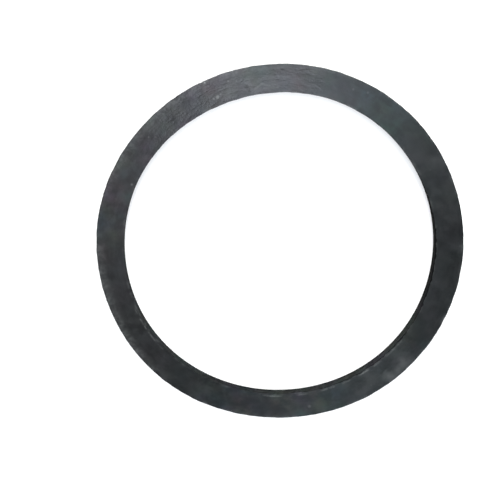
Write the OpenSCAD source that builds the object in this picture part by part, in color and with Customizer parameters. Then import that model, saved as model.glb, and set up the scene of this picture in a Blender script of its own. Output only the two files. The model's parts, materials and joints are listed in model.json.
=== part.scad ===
// Flat sealing ring, moulded in one piece from black rubber.
// It lies on its lower face. The axis of the bore runs along +Z,
// and the origin is the centre of the bore in the plane of the lower face.

/* [Ring] */
// Diameter of the bore
bore_d = 180; // [40:1:400]
// Width of the section, from the bore to the outer wall
section_w = 15; // [5:0.5:40]
// Thickness of the section, from the lower face to the upper face
section_t = 7; // [3:0.5:20]

/* [Edges] */
// Radius of the two lower edges, from the corners of the mould cavity
lower_edge_r = 0.8; // [0.2:0.1:1.5]
// Distance that the trimmed flash stands out from each wall, level with the upper face
flash_reach = 0.3; // [0.1:0.05:0.6]
// Thickness of the trimmed flash at its root on the wall
flash_root_t = 0.5; // [0.2:0.05:1]

/* [Hidden] */
bore_r = bore_d / 2;
outer_r = bore_r + section_w;
flash_root_z = section_t - flash_root_t;
// Distance that a cutting shape reaches past the faces that it cuts
cut_over = 1;
rubber_colour = "#44484b";
$fn = 180;

// Section with straight walls and a feather edge of flash on both upper edges
module lipped_section() {
    polygon([
        [bore_r, 0],
        [outer_r, 0],
        [outer_r, flash_root_z],
        [outer_r + flash_reach, section_t],
        [bore_r - flash_reach, section_t],
        [bore_r, flash_root_z]
    ]);
}

// What is cut from a square corner at the origin to leave it round, with the material towards +X and +Y
module corner_cut(r) {
    difference() {
        translate([-cut_over, -cut_over])
            square(r + cut_over);
        translate([r, r])
            circle(r);
    }
}

// Section of the ring, with its lower edges rounded
module ring_section() {
    difference() {
        lipped_section();
        translate([bore_r, 0])
            corner_cut(lower_edge_r);
        translate([outer_r, 0])
            mirror([1, 0])
                corner_cut(lower_edge_r);
    }
}

module rubber_ring() {
    color(rubber_colour)
        rotate_extrude()
            ring_section();
}

rubber_ring();
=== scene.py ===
import json
import math
from collections import namedtuple

import bpy
from bpy.props import FloatProperty, FloatVectorProperty, IntProperty, PointerProperty
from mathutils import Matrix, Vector


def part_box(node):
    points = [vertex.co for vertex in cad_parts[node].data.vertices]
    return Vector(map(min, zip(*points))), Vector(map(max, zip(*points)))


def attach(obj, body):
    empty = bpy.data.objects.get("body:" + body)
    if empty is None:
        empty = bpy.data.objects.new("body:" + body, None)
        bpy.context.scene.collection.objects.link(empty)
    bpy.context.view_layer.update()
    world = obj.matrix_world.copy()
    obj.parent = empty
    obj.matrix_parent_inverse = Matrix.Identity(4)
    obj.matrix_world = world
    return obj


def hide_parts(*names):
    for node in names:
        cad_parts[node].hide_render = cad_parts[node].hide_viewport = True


bl_info = {
    "name": "Flat rubber sealing ring",
    "version": (1, 0, 0),
    "blender": (4, 5, 0),
    "location": "View3D > Sidebar > Sealing Ring",
    "description": "Makes a moulded rubber sealing ring and the stage that it is shown on",
    "category": "Object",
}

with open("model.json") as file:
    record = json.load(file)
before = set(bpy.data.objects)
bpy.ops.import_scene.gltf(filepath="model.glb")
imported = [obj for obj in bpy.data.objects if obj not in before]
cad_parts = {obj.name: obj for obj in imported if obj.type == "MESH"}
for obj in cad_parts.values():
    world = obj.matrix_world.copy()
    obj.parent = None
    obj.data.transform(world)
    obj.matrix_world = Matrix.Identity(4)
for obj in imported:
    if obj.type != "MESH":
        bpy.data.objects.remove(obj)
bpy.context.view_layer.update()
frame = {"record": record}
NODE = "rubber_ring"
BODY = "root"
MM = 0.001

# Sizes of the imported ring, from its box and from the walls of its bore and its outside
MOUNTS = {mount["name"]: mount for mount in frame["record"]["mounts"]}
RING_LOW, RING_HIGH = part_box(NODE)
BORE_R = MOUNTS["bore"]["dims"]["r_mm"] * MM
OUTER_R = MOUNTS["outer_wall"]["dims"]["r_mm"] * MM
WALL_MIDDLE_Z = MOUNTS["bore"]["pos_m"][2]
WALL_H = MOUNTS["bore"]["dims"]["length_mm"] * MM
THICKNESS = RING_HIGH[2] - RING_LOW[2]
LOWER_EDGE_R = WALL_MIDDLE_Z - WALL_H / 2
FLASH_ROOT = THICKNESS - WALL_MIDDLE_Z - WALL_H / 2
FLASH_REACH = RING_HIGH[0] - OUTER_R
MEAN_R = (BORE_R + OUTER_R) / 2

# How the bore and the rim stray from a true circle: number of waves round the ring, height in mm,
# phase in degrees
BORE_WAVES = (
    (0, -0.17, 0.0),
    (1, 0.07, 49.0),
    (2, 0.03, -23.0),
    (3, 0.23, -131.0),
    (4, 0.15, -136.0),
    (5, 0.11, 29.0),
    (6, 0.06, 121.0),
)
RIM_WAVES = (
    (0, 0.06, 0.0),
    (1, 0.53, -29.0),
    (2, 0.16, -37.0),
    (3, 0.16, -135.0),
    (4, 0.14, -151.0),
    (5, 0.10, 77.0),
    (6, 0.08, -43.0),
)
# Spots on the upper face: angle in degrees, radius and size in mm, strength. The strength of a pit
# is its share of the pit depth, and also of the black painted into it as shade.
DUST_SPECKS = (
    (113.5, 103.7, 1.0, 0.8),
    (111.5, 94.0, 1.6, 0.5),
    (112.9, 93.9, 0.9, 0.3),
    (110.3, 94.8, 0.9, 0.25),
    (106.6, 100.0, 1.0, 0.3),
    (-79.2, 99.4, 1.6, 0.17),
    (154.6, 92.0, 1.0, 0.25),
)
PITS = (
    (101.4, 95.0, 1.7, 0.8),
    (100.7, 92.4, 1.1, 0.7),
    (98.9, 93.8, 0.9, 0.6),
    (141.5, 94.8, 0.9, 0.7),
    (146.9, 104.4, 0.9, 0.7),
    (125.2, 97.3, 1.0, 0.5),
)
# The pale and dark patches are partly uneven tone of the bloom, partly painted highlight and
# painted shade on the gloss of the upper face
PALE_PATCHES = (
    (-43.5, 103.0, 6.5, 1.6),
    (-46.5, 103.0, 6.0, 1.4),
    (-49.5, 102.5, 7.0, 1.8),
    (-83.0, 100.0, 8.0, 0.2),
    (-38.0, 94.5, 5.0, 0.4),
    (-154.0, 94.5, 6.0, 0.4),
    (135.0, 102.5, 8.0, 1.3),
    (107.0, 95.5, 8.0, 1.3),
    (99.5, 94.5, 8.0, 0.9),
    (93.5, 94.5, 6.0, 1.1),
    (87.0, 98.0, 7.0, 0.5),
    (80.0, 103.5, 7.0, 1.2),
    (30.0, 103.0, 8.0, 0.7),
)
DARK_PATCHES = (
    (6.0, 103.0, 9.0, 0.9),
    (-30.0, 100.0, 10.0, 0.8),
    (-46.5, 94.5, 7.0, 1.0),
    (-7.0, 99.0, 13.0, 0.9),
    (-65.5, 100.0, 7.0, 0.7),
    (-80.0, 94.5, 6.0, 0.9),
    (-96.0, 101.0, 7.5, 1.6),
    (-153.0, 102.5, 5.0, 0.6),
    (-123.0, 98.0, 9.0, 0.7),
    (-143.0, 95.0, 7.0, 0.4),
    (-165.0, 94.5, 6.0, 0.6),
    (156.0, 100.5, 9.0, 1.1),
    (128.0, 94.5, 8.0, 1.0),
    (121.0, 94.5, 7.5, 1.1),
    (152.0, 95.0, 6.0, 0.6),
    (70.0, 98.0, 8.0, 0.5),
    (51.0, 98.5, 7.0, 0.5),
    (38.0, 97.0, 7.5, 0.9),
    (97.0, 103.0, 7.0, 0.4),
)
# Pale scuffs on the upper face: angle in degrees and radius in mm of both ends, half width in mm,
# strength
SCUFFS = (
    (98.7, 93.0, 96.2, 94.9, 1.2, 0.17),
    (96.2, 94.9, 93.6, 93.4, 1.2, 0.15),
    (95.7, 92.5, 91.0, 92.6, 0.9, 0.14),
)
# Pale dashes along the upper edge of the bore, a painted highlight where the edge rolls off: angle
# of the middle and half of the length in degrees, strength
EDGE_HIGHLIGHT_DASHES = (
    (-38.4, 1.8, 0.5),
    (-43.0, 2.4, 0.6),
    (-50.0, 1.6, 0.6),
    (-56.0, 1.9, 1.0),
    (-63.5, 1.4, 0.6),
    (-69.3, 0.9, 0.6),
    (-72.4, 1.2, 1.0),
    (-81.0, 1.8, 0.5),
    (-92.5, 3.0, 0.8),
    (-140.5, 1.3, 0.35),
    (-145.5, 2.2, 0.6),
    (-151.5, 2.4, 0.6),
    (-157.0, 1.2, 0.4),
)
# Stretches round the ring, each with the angle of its middle and half of its length in degrees:
# where the rim is paler with a painted sheen, most dust lies, the walls are blackened as painted
# shade, and the bore's upper edge is frayed
PAINTED_SHEEN_RIMS = ((126.5, 31.0), (-159.0, 23.0))
DUSTY_FACE = (100.0, 45.0)
PAINTED_SHADE_WALLS = (3.0, 24.0)
FRAYED_EDGE = (-28.0, 42.0)
# Such stretches of the upper face: where its grain is rough, its bloom is even and low as partly
# painted shade, its tint is even, and its tint is teal
ROUGH_FACES = ((108.0, 30.0), (-48.0, 12.0))
EVEN_FACES = ((5.0, 38.0), (-150.0, 30.0))
EVEN_TINTS = (*EVEN_FACES, (-51.0, 14.0))
TEAL_FACE = (60.0, 17.0)
# Shares of half of a stretch's length: it starts to fade at the first one and is gone at the second
FADE_FROM = 0.6
FADE_TO = 1.4


def face_point(angle, radius, height=THICKNESS):
    """Place at an angle in degrees and a radius in mm."""
    turn = math.radians(angle)
    return Vector((radius * MM * math.cos(turn), radius * MM * math.sin(turn), height))


# The range that most values of a noise lie in
NOISE_RANGE = (0.25, 0.75)
# A place times this keeps its way from the axis and loses its height
FLAT = (1.0, 1.0, 0.0)


class NodeMaker:
    """Adds nodes to one tree. An input given as a socket is linked, and any other value is set."""

    def __init__(self, tree):
        self.tree = tree

    def add(self, kind, inputs=None, **settings):
        node = self.tree.nodes.new(kind)
        for name, value in settings.items():
            setattr(node, name, value)
        for key, value in (inputs or {}).items():
            self.feed(node.inputs[key], value)
        return node

    def feed(self, socket, value):
        if isinstance(value, bpy.types.NodeSocket):
            self.tree.links.new(value, socket)
        else:
            socket.default_value = value

    def math(self, operation, *values, clamp=False):
        inputs = dict(enumerate(values))
        return self.add("ShaderNodeMath", inputs, operation=operation, use_clamp=clamp).outputs[0]

    def vector(self, operation, *values):
        """Result of a vector operation: a number for a length, distance or dot product, else a
        vector."""
        node = self.add("ShaderNodeVectorMath", dict(enumerate(values)), operation=operation)
        gives_number = operation in ("LENGTH", "DISTANCE", "DOT_PRODUCT")
        return node.outputs["Value" if gives_number else "Vector"]

    def scaled(self, vector, factor):
        inputs = {"Vector": vector, "Scale": factor}
        return self.add("ShaderNodeVectorMath", inputs, operation="SCALE").outputs["Vector"]

    def split(self, vector):
        return self.add("ShaderNodeSeparateXYZ", {0: vector}).outputs

    def joined(self, x=0.0, y=0.0, z=0.0):
        return self.add("ShaderNodeCombineXYZ", {0: x, 1: y, 2: z}).outputs[0]

    def ranged(self, value, ends, **settings):
        """The value carried from one range onto another one."""
        names = ("From Min", "From Max", "To Min", "To Max")
        inputs = {"Value": value, **dict(zip(names, ends))}
        return self.add("ShaderNodeMapRange", inputs, **settings).outputs[0]

    def ramp(self, value, low, high, to_low=0.0, to_high=1.0):
        """The value carried smoothly onto the second range, and held at its ends."""
        return self.ranged(value, (low, high, to_low, to_high), interpolation_type="SMOOTHSTEP")

    def line(self, value, low, high, to_low, to_high):
        """The value carried in a straight line onto the second range, past both ends too."""
        return self.ranged(value, (low, high, to_low, to_high), clamp=False)

    def noise(self, place, size, seed, detail=2.0, roughness=0.5, swirl=0.0):
        """Noise node whose largest forms are about size across."""
        inputs = {"Vector": place, "W": seed, "Scale": 1.0 / size, "Detail": detail,
                  "Roughness": roughness, "Distortion": swirl}
        return self.add("ShaderNodeTexNoise", inputs, noise_dimensions="4D")

    def sway(self, place, size, seed, detail=2.0):
        """Noise that strays about 0, mostly between -1 and 1."""
        value = self.noise(place, size, seed, detail).outputs[0]
        return self.line(value, *NOISE_RANGE, -1.0, 1.0)

    def around(self, place):
        """Distance of a point from the ring's axis, and its direction from it as a unit vector."""
        flat = self.vector("MULTIPLY", place, FLAT)
        return self.vector("LENGTH", flat), self.vector("NORMALIZE", flat)

    def folded(self, operation, values):
        """One number from all the values, taken in pairs."""
        total = values[0]
        for value in values[1:]:
            total = self.math(operation, total, value)
        return total

    def most(self, *values):
        """The largest of the values."""
        return self.folded("MAXIMUM", values)

    def product(self, *values):
        return self.folded("MULTIPLY", values)

    def mixed(self, share, first, second):
        """Colour between the first one and the second one."""
        ends = {place: value if isinstance(value, bpy.types.NodeSocket) else (*value, 1.0)
                for place, value in ((6, first), (7, second))}
        return self.add("ShaderNodeMix", {0: share, **ends}, data_type="RGBA").outputs[2]

    def near_angle(self, way, angle, half):
        """1 where a direction from the axis lies in a stretch round an angle, fading to 0."""
        along = self.vector("DOT_PRODUCT", way, face_point(angle, 1.0 / MM, 0.0))
        gone, full = (math.cos(math.radians(share * half)) for share in (FADE_TO, FADE_FROM))
        return self.ramp(along, gone, full)

    def near_any(self, way, stretches):
        """1 where a direction from the axis lies in one of the stretches, fading to 0."""
        return self.most(*(self.near_angle(way, *stretch) for stretch in stretches))

    def spots(self, place, spots):
        """Strength of the soft round spot of the upper face that a point lies in, else 0."""
        marks = []
        for angle, radius, size, strength in spots:
            distance = self.vector("DISTANCE", place, face_point(angle, radius))
            marks.append(self.ramp(distance, 0.0, size * MM, strength, 0.0))
        return self.most(*marks)

    def strokes(self, place, strokes):
        """Strength of the soft straight stroke of the upper face that a point lies in, else 0."""
        marks = []
        for angle, radius, end_angle, end_radius, size, strength in strokes:
            start = face_point(angle, radius)
            run = face_point(end_angle, end_radius) - start
            offset = self.vector("SUBTRACT", place, start)
            share = self.vector("DOT_PRODUCT", offset, run / run.length_squared)
            nearest = self.scaled(run, self.math("ADD", share, 0.0, clamp=True))
            distance = self.vector("DISTANCE", offset, nearest)
            marks.append(self.ramp(distance, 0.0, size * MM, strength, 0.0))
        return self.most(*marks)


class RingSizes(bpy.types.PropertyGroup):
    """Sizes of the ring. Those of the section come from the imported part."""

    bore_radius: FloatProperty(
        name="Bore radius", description="Radius of the inner wall",
        default=BORE_R, unit="LENGTH")
    outer_radius: FloatProperty(
        name="Outer radius", description="Radius of the outer wall",
        default=OUTER_R, unit="LENGTH")
    thickness: FloatProperty(
        name="Thickness", description="From the lower face to the upper face",
        default=THICKNESS, unit="LENGTH")
    lower_edge_radius: FloatProperty(
        name="Lower edge radius", description="Radius of the two lower edges",
        default=LOWER_EDGE_R, unit="LENGTH")
    flash_root: FloatProperty(
        name="Flash root", description="Thickness of the trimmed flash at the wall",
        default=FLASH_ROOT, unit="LENGTH")
    flash_reach: FloatProperty(
        name="Flash reach", description="Mean distance that the flash stands out from a wall",
        default=FLASH_REACH, unit="LENGTH")
    frayed_width: FloatProperty(
        name="Frayed width",
        description="Width of the dull frayed strip along the upper edge of the bore",
        default=1.0 * MM, unit="LENGTH")
    lip_width: FloatProperty(
        name="Lip width", description="Width of the turned-up lip along the upper edges",
        default=2.0 * MM, unit="LENGTH")
    lip_height: FloatProperty(
        name="Lip height", description="Height of the turned-up lip along the upper edges",
        default=0.05 * MM, unit="LENGTH")
    out_of_round: FloatProperty(
        name="Out of round",
        description="How far the soft ring strays from a true circle, 1 as it was found",
        default=1.0, min=0.0)
    swell: FloatProperty(
        name="Swell", description="Height of the unevenness of the upper face",
        default=0.03 * MM, unit="LENGTH")
    pit_depth: FloatProperty(
        name="Pit depth", description="Depth of the shallow pits in the upper face",
        default=0.06 * MM, unit="LENGTH")
    steps_around: IntProperty(
        name="Steps around", description="Number of sections that the ring is made of",
        default=1300, min=64)


class RubberFinish(bpy.types.PropertyGroup):
    """Colours and gloss of the rubber."""

    black: FloatVectorProperty(
        name="Black", description="Colour of the clean rubber",
        default=(0.0025, 0.0028, 0.0030), size=3, subtype="COLOR", min=0.0, max=1.0)
    bloom: FloatVectorProperty(
        name="Bloom", description="Colour of the grey bloom on the rubber",
        default=(0.0143, 0.0156, 0.0163), size=3, subtype="COLOR", min=0.0, max=1.0)
    # Chalk also paints highlight: the pale dashes along the bore, the pale rim and the pale patches
    chalk: FloatVectorProperty(
        name="Chalk", description="Colour of dust specks and of worn edges",
        default=(0.17, 0.18, 0.18), size=3, subtype="COLOR", min=0.0, max=1.0)
    roughness: FloatProperty(
        name="Roughness", description="Roughness of the clean rubber",
        default=0.32, subtype="FACTOR", min=0.0, max=1.0)
    # The walls' paler colour is painted light; their lower gloss and higher roughness are their own
    # finish
    wall_shade: FloatProperty(
        name="Wall shade", description="How much paler the walls are than the faces",
        default=1.4, min=0.0)
    wall_roughness: FloatProperty(
        name="Wall roughness", description="Roughness of the walls",
        default=0.8, subtype="FACTOR", min=0.0, max=1.0)
    grain: FloatProperty(
        name="Grain", description="Depth of the moulded grain",
        default=0.03 * MM, unit="LENGTH")


class StageLook(bpy.types.PropertyGroup):
    """Colours and strengths of the floor and the light."""

    floor: FloatVectorProperty(
        name="Floor", description="Colour of the floor",
        default=(0.95, 0.95, 0.95), size=3, subtype="COLOR", min=0.0, max=1.0)
    room: FloatProperty(
        name="Room light", description="Strength of the light from the room's walls", default=1.0)
    ceiling: FloatProperty(
        name="Ceiling light", description="Strength of the light from the ceiling", default=0.02)
    sky: FloatProperty(
        name="Sky light", description="Strength of the even light from above", default=2.2)
    studio: FloatProperty(
        name="Studio lights", description="Strength of the soft lights, 1 as set", default=1.0)


# How finely the section is cut, from corner to corner
LOWER_FACE_CUTS = 5
CORNER_CUTS = 2
WALL_CUTS = 6
FLASH_CUTS = 1
UPPER_FACE_CUTS = 39
# How much closer the cuts of the upper face lie at its edges than in its middle, from 0 to 1
CROWDING = 0.5
LEVEL_TOLERANCE = 0.001 * MM


def switch_by_index(make, kind, values):
    """The value for each point, picked by the point's index."""
    node = make.add("GeometryNodeIndexSwitch", data_type=kind)
    while len(node.index_switch_items) < len(values):
        node.index_switch_items.new()
    make.feed(node.inputs["Index"], make.add("GeometryNodeInputIndex").outputs[0])
    for place, value in enumerate(values):
        make.feed(node.inputs[place + 1], value)
    return node.outputs[0]


def section_cuts():
    """How many times each side of the section is cut, from corner to corner."""
    return [LOWER_FACE_CUTS, CORNER_CUTS, CORNER_CUTS, WALL_CUTS, FLASH_CUTS, UPPER_FACE_CUTS,
            FLASH_CUTS, WALL_CUTS, CORNER_CUTS, CORNER_CUTS]


def ring_section(make, size, width):
    """Outline of the section as a closed curve: X from the bore's wall outwards, Y up from the
    lower face."""
    edge = size["lower_edge_radius"]
    top = size["thickness"]
    far_edge = make.math("SUBTRACT", width, edge)
    root = make.math("SUBTRACT", top, size["flash_root"])
    rim_tip = make.math("ADD", width, size["flash_reach"])
    bore_tip = make.math("MULTIPLY", size["flash_reach"], -1.0)
    corners = [(edge, 0.0), (far_edge, 0.0), (width, 0.0), (width, edge), (width, root),
               (rim_tip, top), (bore_tip, top), (0.0, root), (0.0, edge), (0.0, 0.0)]
    places = switch_by_index(make, "VECTOR", [make.joined(x, y) for x, y in corners])
    points = make.add("GeometryNodePoints", {"Count": len(corners), "Position": places})
    curve = make.add("GeometryNodePointsToCurves", {"Points": points.outputs[0]})
    loop = {"Geometry": curve.outputs[0], "Cyclic": True}
    closed = make.add("GeometryNodeSetSplineCyclic", loop)
    cuts = switch_by_index(make, "INT", section_cuts())
    cut = make.add("GeometryNodeSubdivideCurve", {"Curve": closed.outputs[0], "Cuts": cuts})
    return rounded(make, crowded(make, cut.outputs[0], bore_tip, rim_tip, top), edge, far_edge)


def moved(make, geometry, chosen, place):
    """The geometry with its chosen points put in their new place."""
    inputs = {"Geometry": geometry, "Selection": chosen, "Position": place}
    return make.add("GeometryNodeSetPosition", inputs).outputs[0]


def crowded(make, curve, low_x, high_x, top):
    """The section with the points of its upper face drawn towards its edges."""
    x, y, _ = make.split(make.add("GeometryNodeInputPosition").outputs[0])
    length = make.math("SUBTRACT", high_x, low_x)
    share = make.math("DIVIDE", make.math("SUBTRACT", x, low_x), length)
    turn = make.math("MULTIPLY", share, 2 * math.pi)
    shift = make.product(make.math("SINE", turn), length, -CROWDING / (2 * math.pi))
    place = make.joined(make.math("ADD", x, shift), y)
    return moved(make, curve, make.math("COMPARE", y, top, LEVEL_TOLERANCE), place)


def rounded(make, curve, edge, far_edge):
    """The section with the points of its lower corners carried onto arcs, edge from their
    centres."""
    place = make.add("GeometryNodeInputPosition").outputs[0]
    x, y, _ = make.split(place)
    inner_x = make.math("MINIMUM", make.math("MAXIMUM", x, edge), far_edge)
    centre = make.joined(inner_x, edge)
    out = make.vector("NORMALIZE", make.vector("SUBTRACT", place, centre))
    on_arc = make.vector("ADD", centre, make.scaled(out, edge))
    return moved(make, curve, make.math("LESS_THAN", y, edge), on_arc)


def waves(make, turn, table):
    """Sum of the waves of a table at an angle round the ring."""
    total = 0.0
    for count, height, phase in table:
        angle = make.math("MULTIPLY_ADD", turn, float(count), -math.radians(phase))
        total = make.math("MULTIPLY_ADD", make.math("COSINE", angle), height * MM, total)
    return total


# Share of the thickness from which a point follows the unevenness of the upper face
UNEVEN_FROM = 0.55
# Tearing of the flash: size, seed and detail of its noise, and the noise where it is torn off and
# where it is whole
BORE_TEARING = (9 * MM, 1.0, 3.0)
BORE_TORN = (0.36, 0.62)
RIM_TEARING = (6 * MM, 2.0, 4.0)
RIM_TORN = (0.42, 0.62)
# What the flash gains where it is torn off and where it is whole, as a share of its reach
REACH_GAINS = (-0.5, 0.1)
# Size, seed and detail of the two swells of the upper face
SWELLS = ((14 * MM, 5.0, 1.5), (45 * MM, 6.0, 1.0))


def moulded_form(make, size, width):
    """Place of each point of the swept ring with the unevenness of moulded rubber, and its
    distance from the bore's wall, given as half of the width away from the upper face."""
    place = make.add("GeometryNodeInputPosition").outputs[0]
    x, y, depth = make.split(place)
    radius, way = make.around(place)
    # The section hangs below the path that it is swept along, so it is turned the right way up
    height = make.math("MULTIPLY", depth, -1.0)
    across = make.math("SUBTRACT", radius, size["bore_radius"])
    inwards = make.math("SUBTRACT", width, across)
    top = size["thickness"]
    up = make.ramp(height, make.math("MULTIPLY", top, UNEVEN_FROM), top)
    # The lip along each upper edge comes and goes, and the flash below it is torn off unevenly
    path = make.scaled(way, MEAN_R)
    no_reach = make.math("MULTIPLY", size["flash_reach"], -1.0)
    lip = out = 0.0
    for distance, tearing, torn, sign in ((across, BORE_TEARING, BORE_TORN, 1.0),
                                          (inwards, RIM_TEARING, RIM_TORN, -1.0)):
        whole = make.ramp(make.noise(path, *tearing).outputs[0], *torn)
        at_edge = make.ramp(distance, no_reach, size["lip_width"], 1.0, 0.0)
        lip = make.math("MULTIPLY_ADD", at_edge, whole, lip)
        past_wall = make.math("MULTIPLY", make.math("MINIMUM", distance, 0.0), sign)
        gain = make.line(whole, 0.0, 1.0, *REACH_GAINS)
        out = make.math("MULTIPLY_ADD", past_wall, gain, out)
    lip = make.math("MULTIPLY", lip, up)
    # The soft ring lies a little out of round, and the width of its section changes
    turn = make.math("ARCTAN2", y, x)
    strays = [waves(make, turn, table) for table in (BORE_WAVES, RIM_WAVES)]
    stray = make.line(across, 0.0, width, *strays)
    out = make.math("MULTIPLY_ADD", stray, size["out_of_round"], out)
    # The upper face swells and sinks, rises to its lips and has a few shallow pits
    uneven = make.math("ADD", *(make.sway(place, *swell) for swell in SWELLS))
    on_face = make.vector("MULTIPLY_ADD", place, FLAT, make.joined(z=top))
    rise = make.math("MULTIPLY", uneven, size["swell"])
    rise = make.math("MULTIPLY_ADD", lip, size["lip_height"], rise)
    sunk = make.math("MULTIPLY", make.spots(on_face, PITS), size["pit_depth"])
    rise = make.math("SUBTRACT", rise, sunk)
    new_height = make.math("MULTIPLY_ADD", rise, up, height)
    new_flat = make.scaled(way, make.math("ADD", radius, out))
    half = make.math("MULTIPLY", width, 0.5)
    from_bore = make.math("MULTIPLY_ADD", make.math("SUBTRACT", across, half), up, half)
    return make.vector("ADD", new_flat, make.joined(z=new_height)), from_bore


FROM_BORE = "from_bore"
# Size, seed and detail of the fraying, the range of its noise, and the shares of the frayed width
# that this gives
FRAY = (3 * MM, 8.0, 2.0)
FRAY_RANGE = (0.35, 0.65)
FRAY_SHARES = (0.4, 1.0)


def frayed_edge(make, size):
    """1 on the dull strip along the upper edge of the bore, where flash was torn off, else 0."""
    place = make.add("GeometryNodeInputPosition").outputs[0]
    stored = make.add("GeometryNodeInputNamedAttribute", {"Name": FROM_BORE}, data_type="FLOAT")
    from_tip = make.math("ADD", stored.outputs[0], size["flash_reach"])
    fray = make.ramp(make.noise(place, *FRAY).outputs[0], *FRAY_RANGE, *FRAY_SHARES)
    in_stretch = make.near_angle(make.around(place)[1], *FRAYED_EDGE)
    return make.math("LESS_THAN", from_tip, make.product(in_stretch, fray, size["frayed_width"]))


SHARP_ANGLE = math.radians(45)
# Height of the unit normal above which a face is part of the upper face, and below which it is
# part of the lower one
UPPER_FACE_ABOVE = 0.3
LOWER_FACE_BELOW = -0.8


def ring_tree():
    """Geometry Nodes tree that sweeps the section round the axis and gives it the form of moulded
    rubber."""
    tree = bpy.data.node_groups.new("Moulded ring", "GeometryNodeTree")
    tree.interface.new_socket("Ring", in_out="OUTPUT", socket_type="NodeSocketGeometry")
    for name in RingSizes.__annotations__:
        kind = "NodeSocketInt" if name == "steps_around" else "NodeSocketFloat"
        tree.interface.new_socket(name, in_out="INPUT", socket_type=kind)
    for name in ("face_rubber", "wall_rubber"):
        tree.interface.new_socket(name, in_out="INPUT", socket_type="NodeSocketMaterial")
    make = NodeMaker(tree)
    size = make.add("NodeGroupInput").outputs
    width = make.math("SUBTRACT", size["outer_radius"], size["bore_radius"])
    circle = {"Resolution": size["steps_around"], "Radius": size["bore_radius"]}
    path = make.add("GeometryNodeCurvePrimitiveCircle", circle)
    level = make.add("GeometryNodeSetCurveNormal", {"Curve": path.outputs[0]}, mode="Z_UP")
    sweep = {"Curve": level.outputs[0], "Profile Curve": ring_section(make, size, width)}
    swept = make.add("GeometryNodeCurveToMesh", sweep)
    form, from_bore = moulded_form(make, size, width)
    mark = {"Geometry": swept.outputs[0], "Name": FROM_BORE, "Value": from_bore}
    marked = make.add("GeometryNodeStoreNamedAttribute", mark, data_type="FLOAT", domain="POINT")
    shape = {"Geometry": marked.outputs[0], "Position": form}
    formed = make.add("GeometryNodeSetPosition", shape)
    outwards = make.add("GeometryNodeFlipFaces", {"Mesh": formed.outputs[0]})
    all_smooth = {"Geometry": outwards.outputs[0], "Shade Smooth": True}
    smooth = make.add("GeometryNodeSetShadeSmooth", all_smooth)
    bend = make.add("GeometryNodeInputMeshEdgeAngle").outputs["Unsigned Angle"]
    sharp = {"Geometry": smooth.outputs[0], "Shade Smooth": False,
             "Selection": make.math("GREATER_THAN", bend, SHARP_ANGLE)}
    edged = make.add("GeometryNodeSetShadeSmooth", sharp, domain="EDGE")
    real = make.add("GeometryNodeRealizeInstances", {"Geometry": edged.outputs[0]})
    all_dull = {"Geometry": real.outputs[0], "Material": size["wall_rubber"]}
    dull = make.add("GeometryNodeSetMaterial", all_dull)
    upright = make.split(make.add("GeometryNodeInputNormal").outputs[0])[2]
    on_faces = make.math("ADD", make.math("GREATER_THAN", upright, UPPER_FACE_ABOVE),
                         make.math("LESS_THAN", upright, LOWER_FACE_BELOW))
    whole = make.math("SUBTRACT", 1.0, frayed_edge(make, size))
    glossy = {"Geometry": dull.outputs[0], "Material": size["face_rubber"],
              "Selection": make.product(on_faces, whole)}
    dressed = make.add("GeometryNodeSetMaterial", glossy)
    make.feed(make.add("NodeGroupOutput").inputs[0], dressed.outputs[0])
    return tree


# Kinds of mottling of the rubber: size across, seed, detail, fineness, swirl, whether it is drawn
# out along the ring, and its share in the bloom of the faces, in that of the walls, in the gloss
# and in the relief
Mottling = namedtuple(
    "Mottling", "size seed detail fineness swirl drawn_out on_faces on_walls in_gloss in_relief")
MOTTLINGS = {
    "cloud": Mottling(14 * MM, 1.0, 3.0, 0.50, 0.8, False, 0.46, 0.20, 0.25, 0.0),
    "dapple": Mottling(5.0 * MM, 2.0, 3.0, 0.50, 0.6, False, 0.32, 0.20, 0.35, 0.7),
    "wipe": Mottling(2.0 * MM, 3.0, 3.0, 0.50, 0.8, True, 0.16, 0.25, 0.40, 0.9),
    "fine": Mottling(1.6 * MM, 4.0, 2.0, 0.60, 0.0, False, 0.06, 0.35, 0.0, 0.6),
    "grain": Mottling(0.6 * MM, 5.0, 1.0, 0.50, 0.0, False, 0.00, 0.00, 0.0, 0.2),
}
# How many times longer the drawn-out mottling is
DRAWN_OUT = 4.0


def mottling(make, place):
    """Noise of each kind of mottling, by its name."""
    radius, way = make.around(place)
    # The ring is shortened for the drawn-out mottling, and keeps its width and its height
    rise = make.math("ADD", radius, make.split(place)[2])
    drawn = make.vector("ADD", make.scaled(way, MEAN_R / DRAWN_OUT), make.joined(z=rise))
    values = {}
    for name, kind in MOTTLINGS.items():
        ground = drawn if kind.drawn_out else place
        noise = make.noise(ground, kind.size, kind.seed, kind.detail, kind.fineness, kind.swirl)
        values[name] = noise.outputs[0]
    return values


def shares(make, values, column):
    """Sum of the kinds of mottling, each times its share."""
    total = 0.0
    for name, kind in MOTTLINGS.items():
        share = getattr(kind, column)
        if share:
            total = make.math("MULTIPLY_ADD", values[name], share, total)
    return total


# Size, seed and detail of the noise that makes the outlines of the patches uneven, and its reach
PATCH_STRAY = (6 * MM, 7.0, 2.0)
PATCH_STRAY_BY = 9 * MM


def patches(make, place):
    """Strength of the pale patches and of the dark ones, both with uneven outlines."""
    noise = make.noise(place, *PATCH_STRAY).outputs["Color"]
    stray = make.vector("MULTIPLY_ADD", noise, (PATCH_STRAY_BY,) * 3, (-PATCH_STRAY_BY / 2,) * 3)
    ground = make.vector("MULTIPLY_ADD", stray, FLAT, place)
    return make.spots(ground, PALE_PATCHES), make.spots(ground, DARK_PATCHES)


# Fine dust in the cells of a pattern: spacing of the cells, distances from a cell's middle at
# which a speck starts to fade and is gone, range of the cells' random numbers over which specks
# set in, and strength away from the dusty stretch and in it
DUST_SPACING = 4 * MM
DUST_REACH = (0.08, 0.22)
DUST_PICK = (0.55, 1.0)
DUST_STRENGTHS = (0.04, 0.14)


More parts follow.
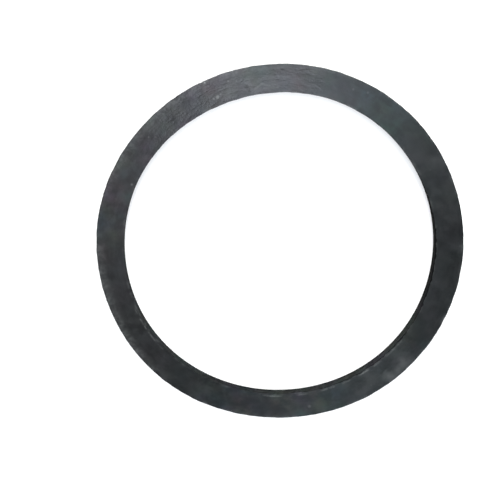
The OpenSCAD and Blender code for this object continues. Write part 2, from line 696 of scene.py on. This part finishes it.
def fine_dust(make, place, way):
    """Strength of the fine specks of dust."""
    inputs = {"Vector": place, "Scale": 1.0 / DUST_SPACING}
    cells = make.add("ShaderNodeTexVoronoi", inputs).outputs
    return make.product(
        make.ramp(cells["Distance"], *DUST_REACH, 1.0, 0.0),
        make.ramp(make.split(cells["Color"])[0], *DUST_PICK),
        make.ramp(make.near_angle(way, *DUSTY_FACE), 0.0, 1.0, *DUST_STRENGTHS))


# Painted highlight dashes along the bore: where they set in and where they end across the face, how
# two kinds of mottling break them up, as ranges from and to, and strength
DASH_FROM = (0.5 * MM, 1.1 * MM)
DASH_TO = (1.2 * MM, 2.0 * MM)
DASH_FINE = (0.35, 0.60, 0.5, 1.0)
DASH_GRAIN = (0.35, 0.60, 0.5, 1.2)
DASH_STRENGTH = 0.33


def painted_edge_highlights(make, way, across, values):
    """Strength of the painted highlight dashes along the upper edge of the bore."""
    dashes = (make.product(make.near_angle(way, angle, half), strength)
              for angle, half, strength in EDGE_HIGHLIGHT_DASHES)
    return make.product(
        make.most(*dashes), make.ramp(across, *DASH_FROM), make.ramp(across, *DASH_TO, 1.0, 0.0),
        make.ramp(values["fine"], *DASH_FINE), make.ramp(values["grain"], *DASH_GRAIN),
        DASH_STRENGTH)


# The pale rim, a painted sheen along stretches of the outer edge: width, how two kinds of
# mottling break it up, as ranges from and to, and strength
PALE_RIM_WIDTH = 6.0 * MM
PALE_RIM_DAPPLE = (0.35, 0.65, 0.4, 1.2)
PALE_RIM_FINE = (0.35, 0.65, 0.5, 1.5)
PALE_RIM_STRENGTH = 0.13


def painted_rim_sheen(make, way, inwards, values):
    """Strength of the painted sheen on the paler stretches of the rim."""
    return make.product(
        make.ramp(inwards, 0.0, PALE_RIM_WIDTH, 1.0, 0.0), make.near_any(way, PAINTED_SHEEN_RIMS),
        make.ramp(values["dapple"], *PALE_RIM_DAPPLE), make.ramp(values["fine"], *PALE_RIM_FINE),
        PALE_RIM_STRENGTH)


# Worn edges: width, range of the dapple that shows them, and strength
WORN_WIDTH = 1.5 * MM
WORN_DAPPLE = (0.45, 0.70)
WORN_STRENGTH = 0.12


def worn_edges(make, across, inwards, values):
    """Strength of the wear along both upper edges."""
    edge = make.math("MINIMUM", across, inwards)
    return make.product(make.ramp(edge, 0.0, WORN_WIDTH, 1.0, 0.0),
                        make.ramp(values["dapple"], *WORN_DAPPLE), WORN_STRENGTH)


def pale_marks(make, place, way, values):
    """Strength of the chalky marks of the upper face: dust, scuffs and edges worn where flash was
    trimmed, with the painted highlight along the bore and the painted sheen on the rim."""
    across = make.add("ShaderNodeAttribute", attribute_name=FROM_BORE).outputs["Fac"]
    inwards = make.math("SUBTRACT", OUTER_R - BORE_R, across)
    return make.most(
        make.spots(place, DUST_SPECKS), make.strokes(place, SCUFFS), fine_dust(make, place, way),
        painted_edge_highlights(make, way, across, values), painted_rim_sheen(make, way, inwards, values),
        worn_edges(make, across, inwards, values))


# How the finish of the two faces and of the two walls differs: which mottling and how much bloom
# it gives, tint, gloss, change of the roughness, and whether there are marks
Side = namedtuple("Side", "mottling bloom tint gloss rough_change marked")
FACES = Side("on_faces", (0.0, 1.0), 1.0, 0.45, 0.035, True)
WALLS = Side("on_walls", (0.1, 0.9), 0.4, 0.03, 0.03, False)
# Ranges of the summed mottling that change the bloom and the roughness
BLOOM_RANGE = (0.39, 0.61)
ROUGH_RANGE = (0.36, 0.64)
# The low bloom that the even stretches are pulled towards, partly painted shade, and how far they
# are pulled
EVEN_BLOOM = 0.22
EVENED_BLOOM = 0.6
# How strong the relief is away from the rough stretches and in them
SMOOTH_RELIEF = 0.8
ROUGH_RELIEF = 3.8
# Size, seed and detail of the tint, and its two ways: from red to teal and from green to blue
TINT = (12 * MM, 21.0, 1.0)
TINT_WAYS = (Vector((-1.3, 0.95, 0.35)), Vector((-0.25, -0.7, 0.95)))
# The middle of both ways, how even the tint is where it is even, and the step to teal
NO_TINT = (0.5, 0.5, 0.5)
EVENED_TINT = 0.8
TEAL = 0.15
# How much black a dark patch gives and how much chalk a pale one, partly painted shade and painted
# highlight, and how much marks dull the face
DARK_PATCH = 0.6
PALE_PATCH = 0.08
MARK_ROUGHNESS = 0.08
# Painted shade on the walls: share of the thickness from which a wall gets darker upwards, and by
# how much
SHADE_FROM = 0.4
SHADE = 0.12


def rubber_tint(make, place, way, side, shade):
    """What the rubber's colour is multiplied by: its shade, faintly tinted."""
    hue = make.noise(place, *TINT).outputs["Color"]
    if side.marked:
        even = make.math("MULTIPLY", make.near_any(way, EVEN_TINTS), EVENED_TINT)
        teal = make.math("MULTIPLY", make.near_angle(way, *TEAL_FACE), TEAL)
        hue = make.vector("ADD", make.mixed(even, hue, NO_TINT), make.joined(x=teal))
    tint = Vector((shade,) * 3) - sum(TINT_WAYS, Vector()) * side.tint * shade / 2
    for tint_way, share in zip(TINT_WAYS, make.split(hue)):
        tint = make.vector("ADD", tint, make.scaled(tint_way * side.tint * shade, share))
    return tint


def marked_face(make, place, way, values, colour, rough, finish):
    """Colour and roughness of the face with its patches, its pits and its chalky marks, which are
    partly painted shade and painted highlight.
    """
    pale, dark = patches(make, place)
    dented = make.spots(place, PITS)
    # Pits are blackened as painted shade, and dark patches partly as tone and partly as painted
    # shade
    dark_tone_and_shade = make.most(dented, make.math("MULTIPLY", dark, DARK_PATCH))
    colour = make.mixed(dark_tone_and_shade, colour, finish.black)
    marks = pale_marks(make, place, way, values)
    chalk_and_highlight = make.most(marks, make.math("MULTIPLY", pale, PALE_PATCH))
    dulled = make.product(make.most(chalk_and_highlight, dented), MARK_ROUGHNESS)
    return make.mixed(chalk_and_highlight, colour, finish.chalk), make.math("ADD", rough, dulled, clamp=True)


def shaded_wall(make, place, way, colour, finish):
    """Colour of the wall, with painted shade: black on one dim stretch and darker below its upper
    edge.
    """
    colour = make.mixed(make.near_angle(way, *PAINTED_SHADE_WALLS), colour, finish.black)
    height = make.split(place)[2]
    shaded = make.ramp(height, SHADE_FROM * THICKNESS, THICKNESS, 0.0, SHADE)
    return make.mixed(shaded, colour, finish.black)


def rubber_material(name, finish, side, shade, roughness):
    """Black rubber clouded with grey bloom and faintly tinted."""
    material = bpy.data.materials.new(name)
    material.use_nodes = True
    material.node_tree.nodes.clear()
    make = NodeMaker(material.node_tree)
    place = make.add("ShaderNodeTexCoord").outputs["Object"]
    values = mottling(make, place)
    way = make.around(place)[1]
    bloomed = make.ramp(shares(make, values, side.mottling), *BLOOM_RANGE, *side.bloom)
    relief = shares(make, values, "in_relief")
    if side.marked:
        evened = make.math("MULTIPLY", make.near_any(way, EVEN_FACES), EVENED_BLOOM)
        lacking = make.math("SUBTRACT", EVEN_BLOOM, bloomed)
        bloomed = make.math("MULTIPLY_ADD", lacking, evened, bloomed)
        on_rough = make.near_any(way, ROUGH_FACES)
        strength = make.ramp(on_rough, 0.0, 1.0, SMOOTH_RELIEF, ROUGH_RELIEF)
        relief = make.math("MULTIPLY", relief, strength)
    tint = rubber_tint(make, place, way, side, shade)
    colour = make.vector("MULTIPLY", make.mixed(bloomed, finish.black, finish.bloom), tint)
    change = make.ramp(shares(make, values, "in_gloss"), *ROUGH_RANGE,
                       -side.rough_change, side.rough_change)
    rough = make.math("ADD", change, roughness, clamp=True)
    if side.marked:
        colour, rough = marked_face(make, place, way, values, colour, rough, finish)
    else:
        colour = shaded_wall(make, place, way, colour, finish)
    bump = make.add("ShaderNodeBump", {"Distance": finish.grain, "Height": relief})
    looks = {"Base Color": colour, "Roughness": rough, "Normal": bump.outputs[0],
             "Specular IOR Level": side.gloss}
    shader = make.add("ShaderNodeBsdfPrincipled", looks)
    make.feed(make.add("ShaderNodeOutputMaterial").inputs["Surface"], shader.outputs[0])
    return material


# Number of strips in the UV map, and the gap between two of them
STRIPS = 4
STRIP_GAP = 0.012


def first_of(numbers, count):
    """First of two neighbouring places on a loop of count places."""
    low, high = min(numbers), max(numbers)
    return high if high - low == count - 1 else low


def lay_out_strips(mesh, steps_around):
    """UV map that lays the ring's surface out flat, as strips of equal length one above another."""
    points = sum(cuts + 1 for cuts in section_cuts())
    per_strip = -(-steps_around // STRIPS)
    section = [mesh.vertices[i].co for i in range(points)]
    gone = [0.0]
    for i in range(points):
        gone.append(gone[-1] + (section[(i + 1) % points] - section[i]).length)
    step_length = 2 * math.pi * MEAN_R / steps_around
    scale = (1.0 / STRIPS - STRIP_GAP) / gone[-1]
    uvs = mesh.uv_layers.new(name="OFBake").data
    for face in mesh.polygons:
        places = [divmod(corner, points) for corner in face.vertices]
        step = first_of([place[0] for place in places], steps_around)
        row = first_of([place[1] for place in places], points)
        strip, start = divmod(step, per_strip)
        for loop, (corner_step, corner_row) in zip(face.loop_indices, places):
            along = start + (corner_step - step) % steps_around
            down = gone[row + (corner_row - row) % points]
            uvs[loop].uv = (along * step_length * scale + STRIP_GAP / 2,
                            down * scale + strip / STRIPS + STRIP_GAP / 2)


class RING_OT_make_ring(bpy.types.Operator):
    """Make the rubber ring as one plain mesh with its material"""

    bl_idname = "sealing_ring.make_ring"
    bl_label = "Make Ring"

    def execute(self, context):
        sizes = context.scene.ring_sizes
        finish = context.scene.rubber_finish
        tree = ring_tree()
        source = bpy.data.objects.new("ring_source", bpy.data.meshes.new("ring_source"))
        context.scene.collection.objects.link(source)
        modifier = source.modifiers.new("Moulded ring", "NODES")
        modifier.node_group = tree
        materials = {
            "face_rubber": rubber_material(
                "Black rubber", finish, FACES, 1.0, finish.roughness),
            "wall_rubber": rubber_material(
                "Dull black rubber", finish, WALLS, finish.wall_shade, finish.wall_roughness),
        }
        for item in tree.interface.items_tree:
            if item.in_out == "INPUT":
                value = materials.get(item.name) or getattr(sizes, item.name)
                modifier[item.identifier] = value
        graph = context.evaluated_depsgraph_get()
        mesh = bpy.data.meshes.new_from_object(source.evaluated_get(graph), depsgraph=graph)
        if not mesh.polygons:
            raise RuntimeError("the ring's node tree made no faces")
        source.modifiers.remove(modifier)
        bpy.data.objects.remove(source)
        mesh.name = "moulded_ring"
        lay_out_strips(mesh, sizes.steps_around)
        ring = bpy.data.objects.new("moulded_ring", mesh)
        context.scene.collection.objects.link(ring)
        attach(ring, BODY)
        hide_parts(NODE)
        return {"FINISHED"}


FLOOR_HALF = 4.0
FLOOR_ROUGHNESS = 0.9


def add_floor(scene, look):
    """Put a plain pale floor under the ring."""
    mesh = bpy.data.meshes.new("floor")
    corners = [(x * FLOOR_HALF, y * FLOOR_HALF, 0.0)
               for x, y in ((-1, -1), (1, -1), (1, 1), (-1, 1))]
    mesh.from_pydata(corners, [], [(0, 1, 2, 3)])
    material = bpy.data.materials.new("Pale floor")
    material.use_nodes = True
    shader = material.node_tree.nodes["Principled BSDF"]
    shader.inputs["Base Color"].default_value = (*look.floor, 1.0)
    shader.inputs["Roughness"].default_value = FLOOR_ROUGHNESS
    shader.inputs["Specular IOR Level"].default_value = 0.0
    mesh.materials.append(material)
    floor = bpy.data.objects.new("floor", mesh)
    scene.collection.objects.link(floor)


# Soft round lights that face the ring: name, place and size in metres, power in watts, colour,
# whether they gleam
STUDIO_LIGHTS = (
    ("overhead", (0.022, 0.0, 1.0), 0.18, 1.88, (0.85, 0.90, 1.0), True),
    ("overhead_left", (-0.20, -0.15, 1.0), 0.36, 0.46, (0.93, 0.92, 1.0), True),
    ("overhead_right", (0.28, 0.03, 1.0), 0.36, 0.42, (0.77, 0.93, 1.0), True),
    ("front", (0.05, -0.68, 1.0), 0.25, 0.40, (0.70, 0.87, 1.0), True),
    ("front_right", (0.30, -0.60, 1.0), 0.25, 0.42, (0.74, 0.93, 1.0), True),
    ("side_back", (0.0, 1.43, 0.65), 1.2, 40.0, (1.0, 1.0, 0.97), False),
)
SKY_PLACE = (0.0, 0.0, 1.0)
SKY_ANGLE = math.radians(90)


def add_light(scene, data, place, gleams):
    """Put a light in its place, facing the ring. One that doesn't gleam isn't seen in the gloss of
    the rubber."""
    light = bpy.data.objects.new(data.name, data)
    light.location = place
    light.rotation_mode = "QUATERNION"
    light.rotation_quaternion = (-Vector(place)).to_track_quat("-Z", "Y")
    light.visible_glossy = gleams
    light.visible_camera = False
    scene.collection.objects.link(light)


def add_lights(scene, look):
    """Put up the studio lights and the even light from above."""
    for name, place, size, power, colour, gleams in STUDIO_LIGHTS:
        data = bpy.data.lights.new(name, "AREA")
        data.shape = "DISK"
        data.size = size
        data.energy = power * look.studio
        data.color = colour
        add_light(scene, data, place, gleams)
    sky = bpy.data.lights.new("sky", "SUN")
    sky.energy = look.sky
    sky.angle = SKY_ANGLE
    add_light(scene, sky, SKY_PLACE, False)


# The photograph's frame, and where the middle of the ring's upper face lies in it
FRAME_PX = 500
FOCAL_PX = 770.5
CENTRE_PX = (279.8, 251.6)
# The camera leans from the ring's axis by the first angle, towards the second one in the ring's
# plane, at this distance in metres from the middle of the upper face
LEAN = math.radians(15.54)
LEAN_TOWARDS = math.radians(100.75)
CAMERA_DISTANCE = 0.4429
SENSOR_W = 36.0
CLIP_START = 0.01


def add_camera(scene):
    """Put up the camera at the photograph's viewing angle."""
    data = bpy.data.cameras.new("camera")
    data.sensor_width = SENSOR_W
    data.lens = SENSOR_W * FOCAL_PX / FRAME_PX
    data.clip_start = CLIP_START
    camera = bpy.data.objects.new("camera", data)
    back = Vector((math.sin(LEAN) * math.cos(LEAN_TOWARDS),
                   math.sin(LEAN) * math.sin(LEAN_TOWARDS),
                   math.cos(LEAN)))
    half = FRAME_PX / 2
    right, down = CENTRE_PX
    to_ring = Vector(((right - half) / FOCAL_PX, (half - down) / FOCAL_PX, -1.0))
    tilt = Vector((0.0, 0.0, 1.0)).rotation_difference(back)
    aim = Vector((0.0, 0.0, -1.0)).rotation_difference(to_ring)
    camera.location = Vector((0.0, 0.0, THICKNESS)) + CAMERA_DISTANCE * back
    camera.rotation_mode = "QUATERNION"
    camera.rotation_quaternion = tilt @ aim.inverted()
    scene.collection.objects.link(camera)
    scene.camera = camera


# The room is white up to the first height and dark from the second one on, as the sine of the
# angle of sight
ROOM_WHITE_TO = 0.55
ROOM_DARK_FROM = 0.85


def add_room(scene, look):
    """Give the room white walls and a dark ceiling, and show colours as they are."""
    world = bpy.data.worlds.new("Room")
    world.use_nodes = True
    make = NodeMaker(world.node_tree)
    upwards = make.split(make.add("ShaderNodeTexCoord").outputs["Generated"])[2]
    white = make.ramp(upwards, ROOM_WHITE_TO, ROOM_DARK_FROM, look.room, look.ceiling)
    background = world.node_tree.nodes["Background"]
    make.feed(background.inputs["Strength"], white)
    background.inputs["Color"].default_value = (1.0, 1.0, 1.0, 1.0)
    scene.world = world
    scene.view_settings.view_transform = "Standard"


class RING_OT_set_stage(bpy.types.Operator):
    """Set the floor, the light and the camera"""

    bl_idname = "sealing_ring.set_stage"
    bl_label = "Set Stage"

    def execute(self, context):
        scene = context.scene
        look = scene.stage_look
        add_floor(scene, look)
        add_room(scene, look)
        add_lights(scene, look)
        add_camera(scene)
        return {"FINISHED"}


class RING_PT_sidebar(bpy.types.Panel):
    """Sizes and finish of the ring, and the steps that make it"""

    bl_idname = "RING_PT_sidebar"
    bl_label = "Sealing Ring"
    bl_space_type = "VIEW_3D"
    bl_region_type = "UI"
    bl_category = "Sealing Ring"

    def draw(self, context):
        scene = context.scene
        for group in (scene.ring_sizes, scene.rubber_finish, scene.stage_look):
            box = self.layout.box()
            for name in group.bl_rna.properties.keys():
                if name not in ("rna_type", "name"):
                    box.prop(group, name)
        for operator in (RING_OT_make_ring, RING_OT_set_stage):
            self.layout.operator(operator.bl_idname)


CLASSES = (RingSizes, RubberFinish, StageLook, RING_OT_make_ring, RING_OT_set_stage,
           RING_PT_sidebar)


def register():
    for item in CLASSES:
        bpy.utils.register_class(item)
    bpy.types.Scene.ring_sizes = PointerProperty(type=RingSizes)
    bpy.types.Scene.rubber_finish = PointerProperty(type=RubberFinish)
    bpy.types.Scene.stage_look = PointerProperty(type=StageLook)


def unregister():
    del bpy.types.Scene.stage_look
    del bpy.types.Scene.rubber_finish
    del bpy.types.Scene.ring_sizes
    for item in reversed(CLASSES):
        bpy.utils.unregister_class(item)


def main():
    register()
    bpy.ops.sealing_ring.make_ring()
    bpy.ops.sealing_ring.set_stage()


if __name__ == "__main__":
    main()
